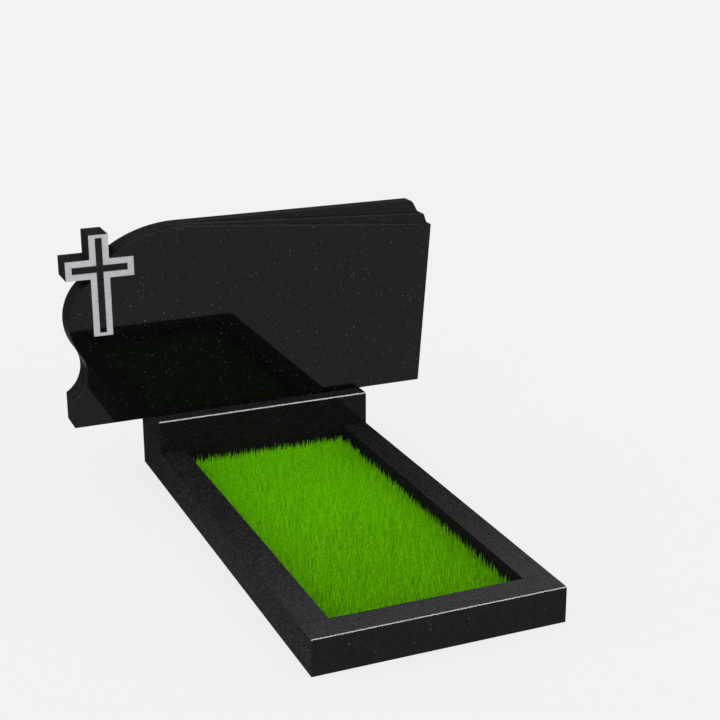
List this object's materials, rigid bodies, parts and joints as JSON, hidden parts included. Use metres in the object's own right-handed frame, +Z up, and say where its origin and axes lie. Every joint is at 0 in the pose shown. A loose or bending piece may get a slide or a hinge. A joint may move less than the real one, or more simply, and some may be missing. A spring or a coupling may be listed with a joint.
{
  "type": "granite headstone with kerb set",
  "caption": "Wide polished black granite stele with a fanned top and a cross at its left shoulder, on a plinth, with a kerb round a turf bed in front.",
  "frame": {"origin": "centre of the plinth's underside, on the ground", "axes": "+Z up, -Y to the front (from the plinth towards the front kerb stone), +X to the right for a viewer in front"},
  "size_m": [1.2055, 1.503, 0.805],
  "materials": {
    "polished_granite": "polished",
    "blasted_granite": "matte",
    "turf": "matte"
  },
  "bodies": {
    "root": {"stele": "polished_granite", "plinth": "polished_granite", "kerb_left": "polished_granite", "kerb_right": "polished_granite", "kerb_front": "polished_granite", "turf_bed": "turf"}
  },
  "joints": []
}
